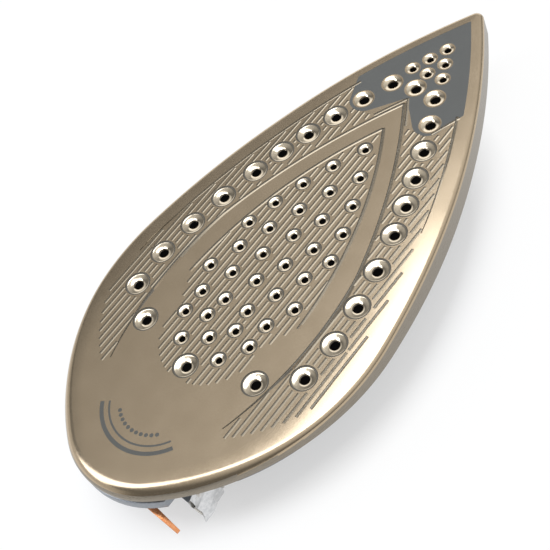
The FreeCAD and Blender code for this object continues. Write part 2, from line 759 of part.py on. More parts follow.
# Earth blade riveted under the body: flat root, narrow neck and a blade bent down and out.
earth = new_body("earth_blade")
edge_x, root_half = earth_x - size("earth_width") / 2, size("earth_root") / 2
root_end = earth_y - root_half
earth_root = rectangle(edge_x, root_end, edge_x + size("earth_root"), earth_y + root_half)
extrude(earth, "Pad", "earth_flat", back, earth_root, "sizes.earth_sheet", False)
sheet_mid = back_level - size("earth_sheet") / 2
knee = root_end - size("earth_neck_length")
tip = (knee - size("earth_run"), sheet_mid - size("earth_fall"))
neck_run = folded_strip([(root_end, sheet_mid), (knee, sheet_mid), tip], size("earth_sheet"))
extrude(earth, "Pad", "earth_strip", str(edge_x), neck_run, "sizes.earth_width", True, "YZ_Plane")
neck_gap = (size("earth_width") - size("earth_neck")) / 2
far_x = edge_x + size("earth_width") - neck_gap
notches = rectangle(edge_x, knee, edge_x + neck_gap, root_end)
notches += rectangle(far_x, knee, far_x + neck_gap, root_end)
extrude(earth, "Pocket", "earth_neck_notches", back, notches, "sizes.earth_sheet", False)
extrude(earth, "Pocket", "earth_hole", back, many_sided([earth_rivet], size("earth_rivet")),
        "sizes.earth_sheet", False)
keep("earth_blade", earth)
rivet_foot = f"({back} - sizes.earth_sheet - sizes.earth_rivet_height)"
rivet_head = prism("earth_rivet_button", *earth_rivet, rivet_foot, "sizes.earth_rivet_head",
                   "sizes.earth_rivet_height", boss_sides)
rivet_shank = prism("earth_rivet_shank", *earth_rivet, rivet_foot, "sizes.earth_rivet",
                    "sizes.earth_rivet_height + sizes.earth_sheet + sizes.earth_rivet_in")
keep("earth_rivet", fuse("earth_rivet", [rivet_head, rivet_shank]))

# Folded clip under the block, with a trough for the cut-out.
clip = new_body("fuse_clip")
clip_y = -size("clip_side")
flange_z = back_level - size("clip_sheet") / 2
trough_z = flange_z - size("trough_depth")
trough_y = clip_y - size("trough_width")
wall_top = trough_z + size("trough_wall")
clip_line = [(clip_y + size("clip_flange"), flange_z), (clip_y, flange_z), (clip_y, trough_z),
             (trough_y, trough_z), (trough_y, wall_top),
             (trough_y + size("trough_lip"), wall_top + size("trough_lip"))]
extrude(clip, "Pad", "clip_sheet_run", str(clip_x - size("clip_width") / 2),
        folded_strip(clip_line, size("clip_sheet")), "sizes.clip_width", True, "YZ_Plane")
extrude(clip, "Pocket", "clip_hole", clip_foot,
        many_sided([clip_screw], screw_hole), "sizes.clip_sheet")
keep("fuse_clip", clip)
screws("clip_screw", [clip_screw], clip_foot)
cutout = doc.addObject("Part::Prism", "fuse_body")
cutout.Polygon = boss_sides
cutout.setExpression("Circumradius", "sizes.cutout_diameter / 2")
cutout.setExpression("Height", "sizes.cutout_length")
cutout_y = (clip_y + trough_y) / 2
cutout_z = trough_z + size("clip_sheet") / 2 + size("cutout_diameter") / 2
cutout_end = clip_x + size("cutout_length") / 2
cutout.Placement = Placement(Vector(cutout_end - size("cutout_length"), cutout_y, cutout_z),
                             Rotation(Vector(0, 1, 0), 90))
keep("fuse_body", cutout)

# Lead of the cut-out: up out of the trough, then along to a rivet in the side of the block.
lead = new_body("fuse_lead")
lead_foot = str(cutout_z - size("lead_width") / 2)
half_lead = size("lead_width") / 2
lead_top = cutout_z - half_lead + size("lead_height")
extrude(lead, "Pad", "lead_leg", lead_foot,
        rectangle(cutout_end, cutout_y - half_lead, cutout_end + size("lead_thick"), cutout_y + half_lead),
        "sizes.lead_height")
lead_start = (cutout_end + size("lead_thick") / 2, cutout_y)
lead_path = [lead_start]
for x in (heel + size("notch_end_from_heel") - size("lead_thick"), lead_x - size("lead_rivet") / 2):
    lead_path.append((x, -half_width(x, size("block_inset")) - size("lead_thick")))
extrude(lead, "Pad", "lead_run", str(lead_top - size("lead_width")),
        folded_strip(lead_path, size("lead_thick")), "sizes.lead_width")
keep("fuse_lead", lead)
stud = doc.addObject("Part::Prism", "lead_rivet")
stud.Polygon = hole_sides
stud.setExpression("Circumradius", "sizes.lead_rivet / 2")
stud.setExpression("Height", "sizes.lead_rivet_in + sizes.lead_rivet_out")
stud_end = Vector(lead_x, lead_y + size("lead_rivet_in"), lead_z)
stud.Placement = Placement(stud_end, Rotation(Vector(1, 0, 0), 90))
keep("lead_rivet", stud)

doc.recompute()
for obj in doc.Objects:
    if "Invalid" in obj.State or "Error" in obj.State:
        raise RuntimeError(f"{obj.Name} failed: {obj.State}")
for label, solid in parts.items():
    if solid.Shape.isNull() or not solid.Shape.isValid():
        raise RuntimeError(f"{label} has no valid shape")
os.makedirs("parts", exist_ok=True)
for label, solid in parts.items():
    solid.Shape.exportStep(f"parts/{label}.step")
    print(label, len(solid.Shape.Solids), round(solid.Shape.Volume, 1))
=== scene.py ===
import bpy
import math
from mathutils import Matrix, Quaternion, Vector, noise


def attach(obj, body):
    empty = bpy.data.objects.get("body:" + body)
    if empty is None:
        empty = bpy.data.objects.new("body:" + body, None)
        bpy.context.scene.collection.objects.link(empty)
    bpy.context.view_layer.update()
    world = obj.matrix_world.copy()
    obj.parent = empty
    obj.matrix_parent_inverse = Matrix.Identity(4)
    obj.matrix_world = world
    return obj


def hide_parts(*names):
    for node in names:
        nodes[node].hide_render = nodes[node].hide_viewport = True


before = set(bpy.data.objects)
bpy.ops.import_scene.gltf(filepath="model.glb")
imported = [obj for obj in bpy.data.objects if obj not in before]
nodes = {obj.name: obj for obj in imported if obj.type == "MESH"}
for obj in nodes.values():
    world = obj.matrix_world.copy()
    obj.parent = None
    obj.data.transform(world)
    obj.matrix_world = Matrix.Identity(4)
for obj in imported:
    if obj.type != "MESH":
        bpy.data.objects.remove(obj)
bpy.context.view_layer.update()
mm = 0.001  # the plans below are in millimetres
weldGap = 0.002 * mm
slack = 0.01  # room for rounding where lengths or angles are compared
bpy.context.scene.view_settings.view_transform = "Standard"
print("frame loaded with", len(nodes), "nodes")


# small helpers

def selectOnly(piece):
    bpy.ops.object.select_all(action="DESELECT")
    piece.select_set(True)
    bpy.context.view_layer.objects.active = piece


def applyModifier(piece, kind, **settings):
    selectOnly(piece)
    modifier = piece.modifiers.new(kind.lower(), kind)
    for name, value in settings.items():
        setattr(modifier, name, value)
    bpy.ops.object.modifier_apply(modifier=modifier.name)


def cleanMesh(piece):
    selectOnly(piece)
    bpy.ops.object.mode_set(mode="EDIT")
    bpy.ops.mesh.select_all(action="SELECT")
    bpy.ops.mesh.remove_doubles(threshold=weldGap)
    bpy.ops.mesh.normals_make_consistent(inside=False)
    bpy.ops.object.mode_set(mode="OBJECT")


def stackRings(name, rings, finish):
    # a round plate is extruded once for each ring, and each ring is then moved to its own plan
    count = len(rings[0])
    bpy.ops.object.select_all(action="DESELECT")
    bpy.ops.mesh.primitive_circle_add(vertices=count, radius=1.0, fill_type="NGON")
    piece = bpy.context.object
    piece.name = piece.data.name = name
    bpy.ops.object.mode_set(mode="EDIT")
    for ring in rings[1:]:
        bpy.ops.mesh.extrude_region_move(TRANSFORM_OT_translate={"value": (0, 0, 1)})
    bpy.ops.object.mode_set(mode="OBJECT")
    first = piece.data.vertices[0].co
    startAngle = math.atan2(first.y, first.x)
    for vertex in piece.data.vertices:
        turn = (math.atan2(vertex.co.y, vertex.co.x) - startAngle) / (2 * math.pi) * count
        place = rings[round(vertex.co.z)][round(turn) % count]
        vertex.co = Vector(place) * mm
    cleanMesh(piece)
    piece.data.materials.append(finish)
    return piece


def joinPieces(pieces):
    bpy.ops.object.select_all(action="DESELECT")
    for piece in pieces:
        piece.select_set(True)
    bpy.context.view_layer.objects.active = pieces[0]
    bpy.ops.object.join()
    return pieces[0]


def repeatPiece(piece, matrices):
    # the first mesh is copied to each place, and all copies become one cutter
    copies = []
    for matrix in matrices:
        copy = bpy.data.objects.new(piece.name, piece.data.copy())
        copy.data.transform(matrix)
        bpy.context.scene.collection.objects.link(copy)
        copies.append(copy)
    bpy.data.objects.remove(piece)
    return joinPieces(copies)


def cutWith(piece, cutter):
    applyModifier(piece, "BOOLEAN", operation="DIFFERENCE", object=cutter, solver="EXACT",
                  material_mode="TRANSFER")
    bpy.data.objects.remove(cutter)


def settle(piece, slotName, *replaced):
    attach(piece, "root")
    if replaced:
        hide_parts(*replaced)


# finishes

def toLinear(hexColour):
    channels = [int(hexColour[i:i + 2], 16) / 255 for i in (1, 3, 5)]
    return [c / 12.92 if c <= 0.04045 else ((c + 0.055) / 1.055) ** 2.4 for c in channels] + [1.0]


def addNode(tree, kind, settings=None, links=None):
    node = tree.nodes.new(kind)
    for name, value in (settings or {}).items():
        if isinstance(name, int) or name in node.inputs:
            node.inputs[name].default_value = value
        else:
            setattr(node, name, value)
    for name, socket in (links or {}).items():
        tree.links.new(socket, node.inputs[name])
    return node


# fine grain and broad clouds (patch in millimetres), how they mix, and the part of the noise that is used
mottle = {"fineDetail": 3.0, "fineRough": 0.6, "patch": 9.0, "patchDetail": 2.0, "share": 0.25,
          "low": 0.3, "high": 0.7, "bump": 0.6}


def makeFinish(name, dark, light, grain, metallic, rough, lift=0.0, stretch=(1, 1, 1)):
    # grain and lift are in millimetres, rough is the smoothest and the dullest value
    material = bpy.data.materials.new(name)
    material.use_nodes = True
    tree = material.node_tree
    shader = tree.nodes["Principled BSDF"]
    shader.inputs["Metallic"].default_value = metallic
    coords = addNode(tree, "ShaderNodeTexCoord").outputs["Object"]
    lay = addNode(tree, "ShaderNodeMapping", {"Scale": stretch}, {"Vector": coords}).outputs["Vector"]
    fine = addNode(tree, "ShaderNodeTexNoise",
                   {"Scale": 1 / (grain * mm), "Detail": mottle["fineDetail"],
                    "Roughness": mottle["fineRough"]},
                   {"Vector": lay}).outputs["Fac"]
    broad = addNode(tree, "ShaderNodeTexNoise",
                    {"Scale": 1 / (mottle["patch"] * mm), "Detail": mottle["patchDetail"]},
                    {"Vector": coords}).outputs["Fac"]
    both = addNode(tree, "ShaderNodeMix", {"data_type": "FLOAT", 0: mottle["share"]},
                   {2: fine, 3: broad}).outputs[0]
    tone = addNode(tree, "ShaderNodeMapRange", {1: mottle["low"], 2: mottle["high"]},
                   {0: both}).outputs[0]
    colour = addNode(tree, "ShaderNodeMix",
                     {"data_type": "RGBA", 6: toLinear(dark), 7: toLinear(light)},
                     {0: tone}).outputs[2]
    dull = addNode(tree, "ShaderNodeMapRange",
                   {1: mottle["low"], 2: mottle["high"], 3: rough[0], 4: rough[1]},
                   {0: both}).outputs[0]
    tree.links.new(colour, shader.inputs["Base Color"])
    tree.links.new(dull, shader.inputs["Roughness"])
    if lift:
        bump = addNode(tree, "ShaderNodeBump",
                       {"Strength": mottle["bump"], "Distance": lift * mm}, {"Height": fine})
        tree.links.new(bump.outputs["Normal"], shader.inputs["Normal"])
    return material


# satin nickel-bronze plated steel: warm grey with a fine peened speckle
satinSteel = makeFinish("satin_plated_steel", "#b6a48a", "#c2b096", 0.5, 1.0, (0.17, 0.25), 0.003)
# the same steel where the press has polished it, bright and nearly smooth; on the flatter walls of the
# grooves it is a painted highlight
pressedSteelAndHighlight = makeFinish("pressed_steel_and_painted_highlight", "#c6b9a2", "#dccfb9", 0.8, 1.0, (0.10, 0.18), 0.002)
# drawn skirt of the same steel, with fine lines that run along the edge, in a darker tone that is painted
# shade on the upright skirt and on the steep inside of each hole's lip
drawnSteelAndShade = makeFinish("drawn_steel_painted_shade", "#857d70", "#968e82", 0.35, 1.0, (0.24, 0.36), 0.004,
                        (0.15, 0.15, 1))
# painted shade in the narrow grooves: dull brown grey steel on their floors and shaded sides
grooveShade = makeFinish("groove_painted_shade", "#78736a", "#8c867b", 0.4, 1.0, (0.2, 0.32))
# painted shade in the sharp step round each dish: dark, dull, nearly without shine
stepShade = makeFinish("step_painted_shade", "#504b42", "#5f5a50", 0.4, 0.3, (0.42, 0.55))
# baked grey enamel print: flat, with fine pigment grain
printEnamel = makeFinish("grey_enamel_print", "#4b4c4a", "#565754", 0.4, 0.0, (0.42, 0.55), 0.002)
# darker ink of the same kind for the fine print at the heel
printInk = makeFinish("dark_enamel_ink", "#42423e", "#4d4d48", 0.4, 0.0, (0.42, 0.55), 0.002)
# painted shade: a black floor in each steam hole, standing for the shaded steam passage below
holeShade = makeFinish("hole_painted_shade", "#060606", "#0c0b0a", 0.5, 0.0, (0.8, 0.95))
holeShade.node_tree.nodes["Principled BSDF"].inputs["Specular IOR Level"].default_value = 0.0
# die-cast aluminium: cool grey with a sandy skin
castAluminium = makeFinish("die_cast_aluminium", "#85898f", "#a5a9ae", 0.9, 1.0, (0.36, 0.52), 0.02)
# rolled aluminised cover sheet: pale, with long rolling lines
coverSteel = makeFinish("aluminised_sheet", "#a9abab", "#c8caca", 0.5, 1.0, (0.28, 0.42), 0.004,
                        (0.1, 1, 1))
# tinned strip: bright and slightly uneven
tinnedSteel = makeFinish("tinned_strip", "#c2c4c6", "#ececec", 1.6, 1.0, (0.14, 0.30), 0.012)
# zinc plated screws: bluish, fine turned grain
screwSteel = makeFinish("zinc_plated_screw", "#a8adb4", "#c9ced4", 0.4, 1.0, (0.25, 0.38), 0.003)
# black oxide rivets: near black with a low sheen
darkSteel = makeFinish("black_oxide_steel", "#262524", "#3a3836", 0.5, 0.9, (0.35, 0.5), 0.003)
# stainless sheath of the element ends: slightly straw coloured by heat
elementSteel = makeFinish("heat_tinted_stainless", "#a59a8a", "#c0b6a4", 0.6, 1.0, (0.25, 0.4), 0.003)
# steatite: matt warm white with a faint grain
steatite = makeFinish("steatite_ceramic", "#ddd6c8", "#efe9dd", 0.6, 0.0, (0.55, 0.7), 0.006)
# moulded red-brown silicone: soft and matt
siliconeRubber = makeFinish("moulded_silicone", "#8a3b2c", "#9c4a38", 0.7, 0.0, (0.5, 0.65), 0.006)
# turned brass: yellow, with turning lines round its axis
turnedBrass = makeFinish("turned_brass", "#b58e46", "#d3ad66", 0.5, 1.0, (0.2, 0.34), 0.003,
                         (0.3, 0.3, 1))
# drawn aluminium cap: soft satin
capAluminium = makeFinish("drawn_aluminium_cap", "#b4b6b8", "#d2d4d6", 0.5, 1.0, (0.26, 0.38), 0.003)
# bare copper strip: orange, a little clouded
copperStrip = makeFinish("rolled_copper", "#d98a58", "#f2ac7c", 1.2, 1.0, (0.2, 0.34), 0.004)
# glazed tube of the one-shot cut-out: plain off-white
fuseCase = makeFinish("glazed_fuse_case", "#cfcac0", "#e2ddd4", 0.8, 0.0, (0.25, 0.38), 0.003)
print("finishes made:", len(bpy.data.materials))


# the outline, from toe to heel on the +Y side: centre x, centre y, radius, start and end angle
outlineArcs = ((110.30, 0.0, 3.0, 0.0, 53.36), (-60.96, -230.30, 290.0, 53.36, 82.57),
               (-34.83, -30.0, 88.0, 82.57, 144.77), (-77.30, 0.0, 36.0, 144.77, 180.0))
outlineSteps = (6, 70, 40, 34)


def edgePoint(number, share, inset):
    centreX, centreY, radius, start, end = outlineArcs[number]
    sideX, sideY, sideRadius = outlineArcs[1][:3]
    if inset >= outlineArcs[0][2]:  # the nose arc is used up, so both sides meet in a point
        apexAngle = math.asin(-sideY / (sideRadius - inset))
        if number == 0:
            return sideX + (sideRadius - inset) * math.cos(apexAngle), 0.0
        if number == 1:
            start = math.degrees(apexAngle)
    angle = math.radians(start + share * (end - start))
    return centreX + (radius - inset) * math.cos(angle), centreY + (radius - inset) * math.sin(angle)


halfSteps = [(0, 0.0)]
for number, count in enumerate(outlineSteps):
    halfSteps += [(number, (i + 1) / count) for i in range(count)]


def halfEdge(inset):
    return [edgePoint(number, share, inset) for number, share in halfSteps]


# sole face
sole = {"faceZ": 28.0, "underZ": 26.4, "wall": 1.2, "lipRound": 0.15, "drawnShadeBelow": 26.2,
        "sideCorner": 1.6, "heelCorner": 4.2, "cornerFromX": -50.0, "cornerToX": -104.0, "cornerSteps": 8,
        "skirtZ": 23.0, "toeSkirtZ": 17.5, "skirtFromX": -92.0, "skirtToX": 30.0,
        "crownWidth": 16.0, "crownEnds": 8.0, "crownSlope": 0.119, "crownHeel": (-80.0, -30.0),
        "crownToe": (72.0, 34.0), "crownSteps": (0.08, 0.17, 0.27, 0.38, 0.5, 0.62, 0.75, 0.88, 1.0),
        "sinkFrom": 1.0, "sinkOver": 2.0, "rimInset": 1.0, "upright": 0.5, "level": 0.99999, "smooth": 20.0}


def ease(value, low, high):
    share = min(max((value - low) / (high - low), 0.0), 1.0)
    return share * share * (3 - 2 * share)


def cornerRadius(x):
    share = ease(x, sole["cornerFromX"], sole["cornerToX"])
    return sole["sideCorner"] + (sole["heelCorner"] - sole["sideCorner"]) * share


def crownWidth(x):
    # the soft edge of the face is widest along the middle of each side
    share = min(ease(x, *sole["crownHeel"]), ease(x, *sole["crownToe"]))
    return sole["crownEnds"] + (sole["crownWidth"] - sole["crownEnds"]) * share


def skirtEdge(x):
    # the skirt is deeper along the sides and the toe than at the heel
    share = ease(x, sole["skirtFromX"], sole["skirtToX"])
    return sole["skirtZ"] + (sole["toeSkirtZ"] - sole["skirtZ"]) * share


def rimProfile(radius, skirtZ, width):
    # inset and height of each ring, from the hollow underside round the skirt to the flat of the face
    wall, lip, face = sole["wall"], sole["lipRound"], sole["faceZ"]
    rings = [(wall, sole["underZ"]), (wall, skirtZ + lip), (wall - lip, skirtZ), (lip, skirtZ),
             (0.0, skirtZ + lip), (0.0, face - radius)]
    for i in range(1, sole["cornerSteps"] + 1):
        angle = math.pi / 2 * i / sole["cornerSteps"]
        rings.append((radius * (1 - math.cos(angle)), face - radius * (1 - math.sin(angle))))
    for share in sole["crownSteps"]:
        rings.append((radius + (width - radius) * share, face))
    return rings


profiles = []
for number, share in halfSteps:
    edgeX = edgePoint(number, share, 0.0)[0]
    profiles.append(rimProfile(cornerRadius(edgeX), skirtEdge(edgeX), crownWidth(edgeX)))
soleRings = []
for level in range(len(profiles[0])):
    half = []
    for (number, share), profile in zip(halfSteps, profiles):
        inset, height = profile[level]
        x, y = edgePoint(number, share, inset)
        half.append((x, y, height))
    soleRings.append(half + [(x, -y, z) for x, y, z in reversed(half[1:-1])])
soleFace = stackRings("sole_plate", soleRings, satinSteel)
soleFace.data.materials.append(drawnSteelAndShade)
# the upright skirt takes the darker drawn steel, its tone painted shade
for face in soleFace.data.polygons:
    if face.center.z < sole["drawnShadeBelow"] * mm and abs(face.normal.z) < sole["upright"]:
        face.material_index = 1
print("sole pressing made:", len(soleFace.data.polygons), "faces")


def insetOf(x, y):
    # distance of a point from the outline, measured on the arc that faces it
    y = abs(y)
    for centreX, centreY, radius, start, end in reversed(outlineArcs):
        angle = math.degrees(math.atan2(y - centreY, x - centreX))
        if start <= angle <= end + slack:
            return radius - math.dist((x, y), (centreX, centreY))
    centreX, centreY, radius = outlineArcs[1][:3]
    return radius - math.dist((x, y), (centreX, centreY))


def crownFace(piece):
    # the cut face sinks gently toward its edge
    for vertex in piece.data.vertices:
        x, y, z = vertex.co / mm
        width = crownWidth(x)
        inset = min(max(insetOf(x, y), 0.0), width)
        drop = sole["crownSlope"] * width / 2 * (1 - inset / width) ** 2
        share = min(max((z - sole["skirtZ"] - sole["sinkFrom"]) / sole["sinkOver"], 0.0), 1.0)
        if z > sole["underZ"] + slack or inset < sole["rimInset"]:  # the underside stays level
            vertex.co.z -= drop * share * mm


# steam dishes: two sizes, and two rims whose steps are reach past the radius and height over the face
dish = {"big": {"radius": 4.85, "panelRadius": 3.9, "hole": 1.7, "depth": 1.4, "sides": 44},
        "small": {"radius": 3.0, "panelRadius": 2.65, "hole": 1.12, "depth": 1.1, "sides": 30},
        "ringed": {"steps": ((0.25, 0.3), (0.12, 0.0), (-0.15, -0.28), (-0.6, -0.35)),
                   "cone": 0.7, "edge": 0.57},
        "bare": {"steps": ((0.4, 0.3), (0.4, -0.036), (0.0, -0.05)), "cone": 0.2, "edge": 0.2},
        "coneDrop": 0.04, "coneSteps": 8, "coneShare": 0.45, "lipShare": 0.2, "floorLift": 0.06,
        "panelFromX": 57.0, "rowInset": 16.4, "rowStartX": 70.1, "rowSteps": 600,
        "rowPitches": (12.2,) * 5 + (15.3,) * 4,
        "sidePair": (-56.6, 26.9), "axisX": (71.4, -63.5),
        "toeRows": ((92.1, 1), (85.6, 2), (79.1, 3)), "toePitch": 7.0,
        "chevronX": 39.7, "chevronPitch": 21.4, "legStep": 11.4,
        "legs": ((4, 6.9, 0.5), (4, 5.5, 0.1), (3, 5.5, 0.1), (1, 5.5, 0.1)),
        "tail": ((12.7, 0.0), (19.4, 6.8), (7.6, 9.1), (16.8, 15.7))}


def rowPlaces():
    fine = dish["rowSteps"]
    walk = [edgePoint(1, i / fine, dish["rowInset"]) for i in range(fine + 1)]
    walk += [edgePoint(2, (i + 1) / fine, dish["rowInset"]) for i in range(fine)]
    targets, total = [0.0], 0.0
    for pitch in dish["rowPitches"]:
        targets.append(targets[-1] + pitch)
    places, last = [], None
    for point in walk:
        if point[0] > dish["rowStartX"]:
            continue
        if last:
            total += math.dist(point, last)
        last = point
        if len(places) < len(targets) and total >= targets[len(places)]:
            places.append(point)
    return places


def bothSides(points):
    return list(points) + [(x, -y) for x, y in points if y > slack]


bigPlaces = bothSides(rowPlaces() + [dish["sidePair"]] + [(x, 0.0) for x in dish["axisX"]])
smallHalf = []
for x, count in dish["toeRows"]:
    smallHalf += [(x, (i - (count - 1) / 2) * dish["toePitch"]) for i in range(count)]
smallHalf = [place for place in smallHalf if place[1] >= 0]
for row, (count, rise, bend) in enumerate(dish["legs"]):
    apexX = dish["chevronX"] - row * dish["chevronPitch"]
    smallHalf += [(apexX - i * dish["legStep"], rise * i - bend * i * i) for i in range(count + 1)]
smallHalf += [(dish["axisX"][1] + x, y) for x, y in dish["tail"]]
smallPlaces = bothSides(smallHalf)


def dishCutter(name, plan, inPanel):
    # a steep fine step (a bare margin in the grey panel), a shallow cone and a rolled lip into the hole
    face, hole, sides = sole["faceZ"], plan["hole"], plan["sides"]
    radius = plan["panelRadius"] if inPanel else plan["radius"]
    rim = dish["bare"] if inPanel else dish["ringed"]
    profile = [(radius + out, face + lift) for out, lift in rim["steps"]]
    start, startZ = radius - rim["cone"], profile[-1][1] - dish["coneDrop"]
    for i in range(dish["coneSteps"] + 1):
        share = i / dish["coneSteps"]
        drop = dish["coneShare"] * share + (1 - dish["coneShare"]) * (1 - math.sqrt(1 - share ** 4))
        profile.append((start + (hole - start) * share,
                        startZ + (face - plan["depth"] - startZ) * drop))
    # the cut stops just above the underside, and its black floor is painted shade for the steam passage
    profile.append((hole, sole["underZ"] + dish["floorLift"]))  # the steam passage below stays black
    turns = [2 * math.pi * i / sides for i in range(sides)]
    rings = [[(r * math.cos(turn), r * math.sin(turn), z) for turn in turns] for r, z in profile]
    cutter = stackRings(name, rings, pressedSteelAndHighlight)
    for finish in (holeShade, satinSteel if inPanel else stepShade, drawnSteelAndShade):
        cutter.data.materials.append(finish)
    for polygon in cutter.data.polygons:
        reach = max(cutter.data.vertices[i].co.xy.length for i in polygon.vertices) / mm
        # black floor of the hole: painted shade
        if reach < hole + slack:
            polygon.material_index = 1
        # darker drawn steel here is a crescent of painted shade just above the hole
        elif reach < hole + (start - hole) * dish["lipShare"]:  # steep inside of the lip
            polygon.material_index = 3
        # the outer step: painted shade in the ringed dishes, plain face steel in the panel
        elif reach > radius - rim["edge"]:
            polygon.material_index = 2
    return cutter


# line pattern
lines = {"pitch": 2.35, "rows": 21, "width": 1.15, "depth": 0.22, "above": 0.1, "steepShare": 0.1,
         "floorShare": 0.24, "flatSide": (0.7, 0.999), "highlightFromX": -1000.0, "highlightFade": 16.0,
         "shortest": 1.2, "bigClear": 5.5, "smallClear": 3.5, "archGap": 3.2,
         "fieldHalf": 26.0, "tailX": -49.1, "tailRadius": 20.0, "shoulderX": -42.7, "shoulderY": 21.0,
         "shoulderSlope": 2.2, "bandInset": 7.8, "bandGap": 0.5, "heelInset": 6.0, "heelY": 50.0,
         "heelSlope": 0.41, "heelFromY": 27.0, "archHeelY": 28.5, "archTopY": 34.6,
         "rearX": 54.0, "rearY": 20.5, "rearSlope": 3.2}


def circleThrough(a, b, c):
    (ax, ay), (bx, by), (cx, cy) = a, b, c
    d = 2 * (ax * (by - cy) + bx * (cy - ay) + cx * (ay - by))
    sa, sb, sc = ax * ax + ay * ay, bx * bx + by * by, cx * cx + cy * cy
    x = (sa * (by - cy) + sb * (cy - ay) + sc * (ay - by)) / d
    y = (sa * (cx - bx) + sb * (ax - cx) + sc * (bx - ax)) / d
    return x, y, math.dist((x, y), a)


# arch lines round the middle field, given on the +Y side: the inner one by its centre and radius,
# the outer one by points, and its radius changes where the two arcs join
arch = {"inner": (-40.1, -142.6, 168.9), "innerTail": -33.0, "innerTip": 50.4, "innerWidth": 1.35,
        "outerEnd": (-74.6, 28.1), "outerSide": (-28.8, 34.3), "outerJoin": (-7.4, 31.9),
        "outerFront": (20.0, 22.8), "outerTip": (63.3, 0.0), "outerTail": -75.0,
        "outerWide": 2.0, "outerThin": 1.35, "outerThinTail": 0.4, "swellX": -32.0, "swellReach": 24.0,
        "secondStart": 54.5, "secondApex": 66.0, "edgeInset": 7.2, "edgeTail": {1: -36.0, -1: 18.0},
        "edgeToe": 66.0, "edgeThin": 0.25, "edgeTaper": 30.0, "endFrom": (55.6, 18.4), "endTo": (66.2, 23.6),
        "lineWidth": 1.1, "depth": 0.23, "legStep": 0.006, "highlightFromX": -30.0,
        "innerSteps": 40, "heelSteps": 30, "toeSteps": 40, "secondSteps": 8}
joinX, joinY = arch["outerJoin"]
outerToe = circleThrough(arch["outerJoin"], arch["outerFront"], arch["outerTip"])
outerHeel = circleThrough(arch["outerEnd"], arch["outerSide"], arch["outerJoin"])


def stationOn(circle, y, toeSide=True):
    x, centreY, radius = circle
    reach = radius ** 2 - (y - centreY) ** 2
    if reach < 0:
        return None
    return x + (math.sqrt(reach) if toeSide else -math.sqrt(reach))


def edgeStation(inset, y, toeSide):
    # x where the inset outline stands at this y
    points = halfEdge(inset)
    widest = max(range(len(points)), key=lambda i: points[i][1])
    run = points[:widest + 1] if toeSide else points[widest:]
    for (x0, y0), (x1, y1) in zip(run, run[1:]):
        if min(y0, y1) <= y <= max(y0, y1) and y0 != y1:
            return x0 + (x1 - x0) * (y - y0) / (y1 - y0)
    return None


def panelRear(y):
    # the lines end short of the toe panel
    return lines["rearX"] + max(y - lines["rearY"], 0.0) * lines["rearSlope"]


def lineRuns(y):
    runs, gap = [], lines["archGap"]
    # the middle field ends in a round tail and at the inner arch
    toe = stationOn(arch["inner"], y)
    if y < lines["fieldHalf"]:
        if y <= lines["tailRadius"]:
            heel = lines["tailX"] - math.sqrt(lines["tailRadius"] ** 2 - y * y)
        else:
            heel = lines["shoulderX"] + (y - lines["shoulderY"]) * lines["shoulderSlope"]
        if toe and toe - gap > heel:
            runs.append((heel, toe - gap))
    # the outer band runs from the heel to the toe side, outside the outer arch
    last = edgeStation(lines["bandInset"], y, True)
    if last is None:
        return runs
    end = min(last - lines["bandGap"], panelRear(y))
    heelInset = lines["heelInset"] + max(lines["heelY"] - y, 0) * lines["heelSlope"]
    heel = edgeStation(heelInset, y, False) if y > lines["heelFromY"] else None
    archToe = stationOn(outerToe if y < joinY else outerHeel, y)
    archHeel = stationOn(outerHeel, y, False)
    if y > lines["archTopY"]:
        if heel is not None:
            runs.append((heel, end))
    else:
        if archToe is not None:
            runs.append((archToe + gap, end))
        if heel is not None and archHeel is not None and y > lines["archHeelY"]:
            runs.append((heel, archHeel - gap))
    return runs


def clearRuns(y, run):
    # a line stops short of each dish that it meets
    blocks = []
    for places, reach in ((bigPlaces, lines["bigClear"]), (smallPlaces, lines["smallClear"])):
        for dishX, dishY in places:
            gap = abs(dishY - y)
            if gap < reach:
                half = math.sqrt(reach ** 2 - gap ** 2)
                blocks.append((dishX - half, dishX + half))
    pieces, start = [], run[0]
    for low, high in sorted(blocks):
        if low > start:
            pieces.append((start, min(low, run[1])))
        start = max(start, high)
        if start >= run[1]:
            break
    if start < run[1]:
        pieces.append((start, run[1]))
    return [piece for piece in pieces if piece[1] - piece[0] > lines["shortest"]]


def trough(x, y, acrossX, acrossY, width, depth):
    # section of a groove: steep on its left side, a narrow floor, and flatter on its right side
    face, above = sole["faceZ"], lines["above"]
    flare = above / depth
    left, flat = lines["steepShare"] * width, lines["floorShare"] * width
    right = width - left
    places = ((left * (1 + flare), above), (-right - (right - flat) * flare, above),
              (-flat, -depth), (0.0, -depth))
    return [(x + acrossX * reach, y + acrossY * reach, face + lift) for reach, lift in places]


def grooveCutter(name, sections, highlightFromX):
    # toward the toe the flatter side carries a painted highlight, for highlightFade before highlightFromX it
    # is plain face steel, and the steep side, the floor and the rest of the flatter side stay in painted
    # shade
    cutter = stackRings(name, sections, grooveShade)
    cutter.data.materials.append(pressedSteelAndHighlight)
    cutter.data.materials.append(satinSteel)
    low, high = lines["flatSide"]
    for polygon in cutter.data.polygons:
        past = polygon.center.x / mm - highlightFromX
        if low < abs(polygon.normal.z) < high and past > -lines["highlightFade"]:
            polygon.material_index = 1 if past > 0 else 2
    return cutter


lineEnds = [trough(x, 0.0, 0.0, 1.0, lines["width"], lines["depth"]) for x in (0.0, 1.0)]
